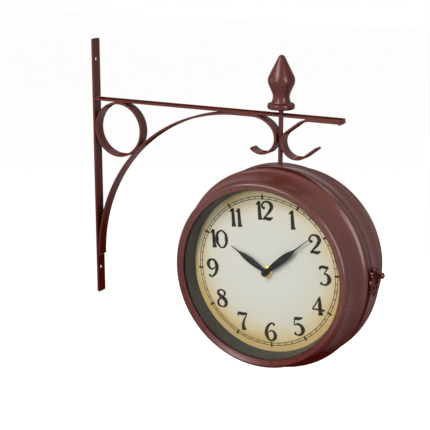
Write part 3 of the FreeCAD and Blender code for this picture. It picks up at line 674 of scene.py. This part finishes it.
def flat_bar(bm, radius_in, radius_out, half_in, half_out, angle):
    """A radial mark of the track, straight or tapering."""
    made = bmesh.ops.create_grid(bm, x_segments=1, y_segments=1, size=0.5)["verts"]
    for vert in made:
        outer = vert.co.y > 0
        half = half_out if outer else half_in
        vert.co = Vector((half if vert.co.x > 0 else -half, radius_out if outer else radius_in, 0))
    bmesh.ops.rotate(bm, verts=made, cent=(0, 0, 0), matrix=Matrix.Rotation(-angle, 3, "Z"))


def track_marks(bm):
    """Two thin rings with sixty ticks between them and a spike at each hour."""
    inner_r = track_r - track_gap
    for radius in (track_r, inner_r):
        start = bm.verts.new((radius - track_line / 2, 0, 0))
        end = bm.verts.new((radius + track_line / 2, 0, 0))
        edge = bm.edges.new((start, end))
        bmesh.ops.spin(bm, geom=[start, end, edge], cent=(0, 0, 0), axis=(0, 0, 1), angle=2 * pi,
                       steps=ring_turns, use_merge=True)
    for minute in range(60):
        angle = radians(minute * 6)
        flat_bar(bm, inner_r, track_r, minute_tick / 2, minute_tick / 2, angle)
        if minute % 5 == 0:
            flat_bar(bm, inner_r, track_r + hour_bar_over, hour_tick / 2, hour_tick / 2, angle)
            flat_bar(bm, track_r + hour_spike_start, track_r + hour_spike,
                     hour_tick * hour_spike_foot, hour_spike_tip, angle)
            flat_bar(bm, inner_r - inner_spike, inner_r, inner_spike_tip,
                     hour_tick * inner_spike_foot, angle)


def dial_faces():
    """Printed dials: aged paper, track and numbers, turned a little as in the works."""
    pen = pen_profile()
    numbers = figures(pen)
    bpy.data.objects.remove(pen)
    turn = Matrix.Rotation(radians(-print_turn), 4, "Z")
    stand = Matrix.Rotation(pi / 2, 4, "X")
    for facing, body, way_out in faces:
        put_finish(facing + "_dial", dial_paper(facing))
        bm = bmesh.new()
        bm.from_mesh(numbers)
        track_marks(bm)
        swing = Matrix.Rotation(0 if facing == "front" else pi, 4, "Z")
        seat = Matrix.Translation((clock_x, way_out * (dial_front + print_lift), case_centre.z))
        bmesh.ops.transform(bm, matrix=seat @ swing @ stand @ turn, verts=bm.verts)
        towards = Vector((0, way_out, 0))
        for face in bm.faces:
            face.normal_update()
            if face.normal.dot(towards) < 0:
                face.normal_flip()
        piece(facing + "_dial_marks", bm, body, ink)


# ---------------------------------------------------------------- finial
def touch(centre, radius, outside, side):
    """Where a line from a point outside touches a profile's circle, on one side or the other."""
    away_r = outside[0] - centre[0]
    away_h = outside[1] - centre[1]
    angle = atan2(away_h, away_r) + side * acos(radius / hypot(away_r, away_h))
    return centre[0] + radius * cos(angle), centre[1] + radius * sin(angle)


def turned_finial():
    """Bud in smooth turned curves: rounded flange, waist, bulb, straight cone and domed tip."""
    top = (finial_top.z - finial_foot.z) / MM
    tip = (tip_r, top - tip_drop)
    waist_reach = waist_centre[1] - waist_low
    neck = (waist_centre[0] - sqrt(curve_r ** 2 - waist_reach ** 2), waist_low)
    waist_end = touch(waist_centre, curve_r, curves_meet, 1)
    bulb_start = touch(bulb_centre, curve_r, curves_meet, 1)
    bulb_end = touch(bulb_centre, curve_r, tip, -1)
    profile = [(0, 0), (flange_foot_r, 0)]
    profile += arc(profile[-1], flange_under, (flange_r, flange_low), 6)
    profile += [(flange_r, flange_high)]
    profile += arc(profile[-1], flange_over, flange_top, 6)
    profile += arc(profile[-1], waist_dip, neck, 3)
    profile += arc(neck, (waist_r, waist_centre[1]), waist_end, 18)
    profile += [bulb_start]
    profile += arc(bulb_start, (bulb_r, bulb_centre[1]), bulb_end, 16)
    profile += [tip]
    profile += arc(tip, (dome_r, top - dome_drop), (0, top), 7)
    points = [(r * MM, h * MM) for r, h in profile]
    bm = lathe(points, Vector((clock_x, 0, finial_foot.z)), Vector((0, 0, 1)), steps=finial_turns)
    piece("finial_turned", bm, "bracket_and_rear_case", bracket_paint, ("finial",),
          finial_smooth)


# ---------------------------------------------------------------- the rest of the nodes
def bracket():
    for node in ("wall_bar", "arm_bar", "corner_ring", "brace_scroll", "outer_scroll"):
        softened(node, bracket_paint, bar_edge)
    softened("hanger_rod", bracket_paint, rod_edge)
    put_finish("weld_beads", weld)
    put_finish("rod_nut", zinc)
    put_finish("rod_washer", zinc)


def fittings():
    for node in ("hinge_leaf_fixed", "hinge_leaf_moving"):
        softened(node, paint, cast_edge)
    for node in ("clasp_base", "clasp_keeper", "clasp_lever", "clasp_thumb_knob"):
        softened(node, cast_paint, cast_edge)
    put_finish("hinge_pin", paint)
    put_finish("clasp_screw", cast_paint)


def works():
    """Everything between the reveal and the setting knob, alike on both faces."""
    finishes = {
        "reveal_ring": charcoal, "glass": glass, "dial_pan": zinc, "pan_clips": zinc,
        "movement": black_works, "dial_nut": brass, "battery": cell_jacket,
        "battery_contacts": zinc, "hour_pipe": white_plastic, "minute_arbor": brass,
        "hour_hand": black_enamel, "minute_hand": black_enamel, "cap_nut": black_enamel,
        "set_knob": white_plastic,
    }
    for facing, _, _ in faces:
        for name, finish in finishes.items():
            put_finish(facing + "_" + name, finish)


# ---------------------------------------------------------------- room, light and camera
def seen(nodes, links):
    """One where the camera, a mirror or a clear pane looks, zero for all other light paths."""
    paths = nodes.new("ShaderNodeLightPath").outputs
    first = combined(nodes, links, "MAXIMUM", paths["Is Camera Ray"], paths["Is Glossy Ray"])
    return combined(nodes, links, "MAXIMUM", first, paths["Is Transmission Ray"])


def white_room():
    """White surround, and a pale floor far below that keeps the shadow."""
    world = bpy.data.worlds.new("room")
    bpy.context.scene.world = world
    world.use_nodes = True
    tree = world.node_tree
    back = tree.nodes["Background"]
    back.inputs["Color"].default_value = white
    strength = between(tree, seen(tree.nodes, tree.links), fill_light, 1.0)
    tree.links.new(strength, back.inputs["Strength"])

    bm = bmesh.new()
    bmesh.ops.create_grid(bm, x_segments=1, y_segments=1, size=floor_half)
    bmesh.ops.translate(bm, verts=bm.verts, vec=(0, 0, floor_height))
    mesh = bpy.data.meshes.new("floor")
    bm.to_mesh(mesh)
    bm.free()
    floor = bpy.data.objects.new("floor", mesh)
    bpy.context.scene.collection.objects.link(floor)
    material = bpy.data.materials.new("floor_white")
    material.use_nodes = True
    tree = material.node_tree
    bsdf = tree.nodes["Principled BSDF"]
    bsdf.inputs["Base Color"].default_value = floor_shade
    bsdf.inputs["Roughness"].default_value = 0.9
    bsdf.inputs["Emission Color"].default_value = white
    glow = between(tree, seen(tree.nodes, tree.links), 0.0, floor_glow)
    tree.links.new(glow, bsdf.inputs["Emission Strength"])
    floor.data.materials.append(material)


def look_at(obj, place, aim):
    obj.location = place
    obj.rotation_euler = (Vector(aim) - Vector(place)).to_track_quat("-Z", "Y").to_euler()
    bpy.context.scene.collection.objects.link(obj)


def studio():
    """Two tall boxes beside the camera, one overhead, a soft one at the side and one behind."""
    for name, (place, width, height, power) in softboxes.items():
        data = bpy.data.lights.new(name, "AREA")
        data.shape = "RECTANGLE"
        data.size = width
        data.size_y = height
        data.energy = power
        look_at(bpy.data.objects.new(name, data), place, (clock_x, 0, 0))


def camera():
    data = bpy.data.cameras.new("camera")
    data.lens = camera_lens
    data.sensor_width = camera_sensor
    data.clip_start = camera_near
    obj = bpy.data.objects.new("camera", data)
    look_at(obj, camera_eye, camera_target)
    bpy.context.scene.camera = obj


bpy.context.scene.view_settings.view_transform = "Standard"
case_shells()
hoop()
dial_faces()
turned_finial()
bracket()
fittings()
works()
white_room()
studio()
camera()
